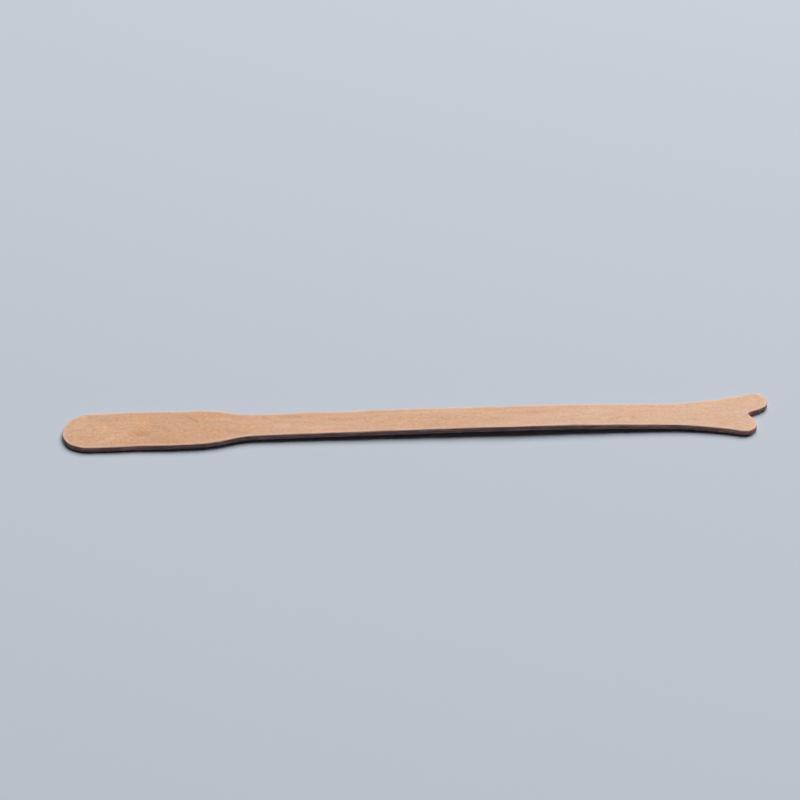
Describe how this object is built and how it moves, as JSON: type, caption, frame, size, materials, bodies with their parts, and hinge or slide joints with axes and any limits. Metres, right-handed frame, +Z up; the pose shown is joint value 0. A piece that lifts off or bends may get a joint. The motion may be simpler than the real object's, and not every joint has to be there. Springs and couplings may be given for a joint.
{
  "type": "cervical spatula",
  "caption": "Flat wooden cervical spatula: a broad blade with a full round end, a slim straight handle and a forked end with a long and a short lobe.",
  "frame": {"origin": "on the surface it lies on, under the middle of the overall length and width", "axes": "+X runs along the piece from the blade to the forked end, +Y across it towards the long lobe, +Z up, away from the surface it lies on"},
  "size_m": [0.18, 0.015, 0.0027],
  "materials": {
    "birch": "bare, lightly tumbled, matt"
  },
  "bodies": {
    "root": {"cervical_spatula": "birch"}
  },
  "joints": []
}
